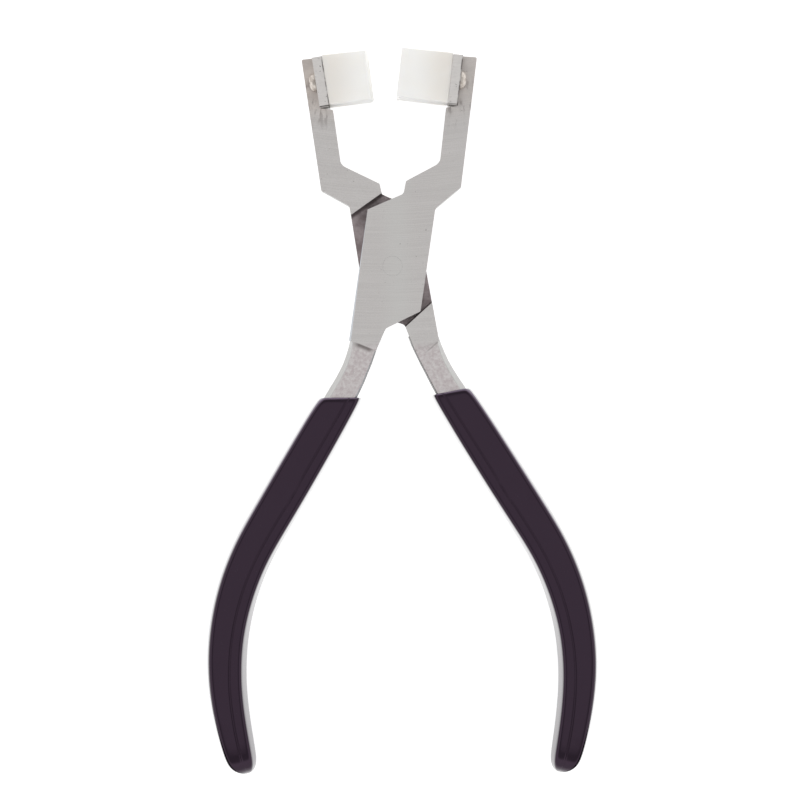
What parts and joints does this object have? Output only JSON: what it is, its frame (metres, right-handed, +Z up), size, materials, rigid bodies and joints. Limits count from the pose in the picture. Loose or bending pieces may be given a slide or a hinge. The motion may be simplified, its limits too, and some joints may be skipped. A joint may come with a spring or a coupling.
{
  "type": "nylon-jaw running pliers",
  "caption": "Lap-joint pliers with wide gaping jaws that carry screwed nylon pads, one convex and one concave, for running a score in glass; dipped bowed handles.",
  "frame": {"origin": "on the surface that the tool lies on, below the middle of its box", "axes": "+Y along the tool towards the jaws, +X to the right of someone who looks down on it, +Z up through its thickness"},
  "size_m": [0.0812, 0.1504, 0.018],
  "materials": {
    "ground_steel": "satin, fine cross grinding",
    "plate_steel": "sawn and ground",
    "screw_steel": "bright plated",
    "nylon": "satin, milky",
    "dipped_vinyl": "smooth dipped vinyl"
  },
  "bodies": {
    "front": {"front_half": "ground_steel", "pivot_rivet": "ground_steel", "right_jaw_plate": "plate_steel", "concave_pad": "nylon", "right_front_screw": "screw_steel", "right_rear_screw": "screw_steel", "left_grip": "dipped_vinyl"},
    "back": {"back_half": "ground_steel", "left_jaw_plate": "plate_steel", "convex_pad": "nylon", "left_front_screw": "screw_steel", "left_rear_screw": "screw_steel", "right_grip": "dipped_vinyl"}
  },
  "joints": [
    {"name": "pivot", "type": "hinge", "parent": "front", "child": "back", "pos_m": [0, 0.0303, 0.009], "axis": [0, 0, 1], "range_deg": [-8.5, 80]}
  ]
}
